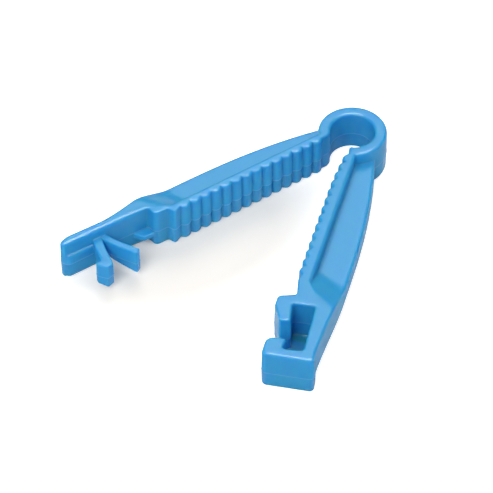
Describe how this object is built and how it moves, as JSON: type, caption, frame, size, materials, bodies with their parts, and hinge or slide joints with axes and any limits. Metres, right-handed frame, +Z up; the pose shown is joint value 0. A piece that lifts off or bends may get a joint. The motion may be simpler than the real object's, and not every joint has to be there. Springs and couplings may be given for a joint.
{
  "type": "umbilical cord clamp",
  "caption": "One-piece plastic umbilical cord clamp lying open in a V, with toothed jaws, a spring ring, snap prongs and a latch box.",
  "frame": {"origin": "middle of the bounding box in plan, on the surface the clamp lies on", "axes": "+Z up through the moulding's height, +Y towards the spring ring, the V opens towards -Y, prong arm at -X and latch box arm at +X"},
  "size_m": [0.0444, 0.0508, 0.0071],
  "materials": {
    "plastic": "satin injection-moulded light blue plastic"
  },
  "bodies": {
    "root": {"cord_clamp": "plastic"}
  },
  "joints": []
}
